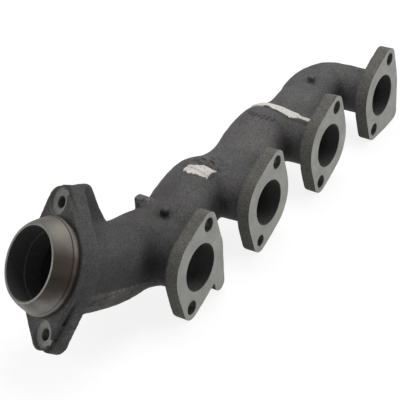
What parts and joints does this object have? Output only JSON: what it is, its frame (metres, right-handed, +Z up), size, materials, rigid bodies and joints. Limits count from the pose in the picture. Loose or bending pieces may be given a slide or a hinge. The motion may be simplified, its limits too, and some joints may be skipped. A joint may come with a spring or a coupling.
{
  "type": "exhaust manifold",
  "caption": "Cast iron log exhaust manifold for one bank of a V engine, with flanged ports along a bent log and a two-bolt ball-seat outlet angled up at one end",
  "frame": {"origin": "middle of the port row on the cylinder head's face, at the height of the port centres", "axes": "+X along the port row away from the outlet end, -Y into the cylinder head, +Z up"},
  "size_m": [0.455, 0.1071, 0.114],
  "materials": {
    "sand_cast": "sand cast, dark grey",
    "machined_flange": "milled face on a cast edge",
    "turned_seat": "turned, olive brown sheen",
    "paint_mark": "cast pad with a rubbed off-white paint mark"
  },
  "bodies": {
    "root": {"port_flange_1": "machined_flange", "port_flange_2": "machined_flange", "port_flange_3": "machined_flange", "port_flange_4": "machined_flange", "runner_1": "sand_cast", "runner_2": "sand_cast", "runner_3": "sand_cast", "runner_4": "sand_cast", "end_elbow": "sand_cast", "junction_1": "sand_cast", "junction_2": "sand_cast", "junction_3": "sand_cast", "log_pipe_1": "sand_cast", "log_pipe_2": "sand_cast", "log_pipe_3": "sand_cast", "outlet_neck": "sand_cast", "outlet_flange": "sand_cast", "outlet_seat": "turned_seat", "gusset_upper": "sand_cast", "gusset_lower": "sand_cast", "bracket_boss": "sand_cast", "cast_pip_1": "sand_cast", "cast_pip_2": "sand_cast", "paint_pad_2": "paint_mark", "paint_pad_3": "paint_mark"}
  },
  "joints": []
}
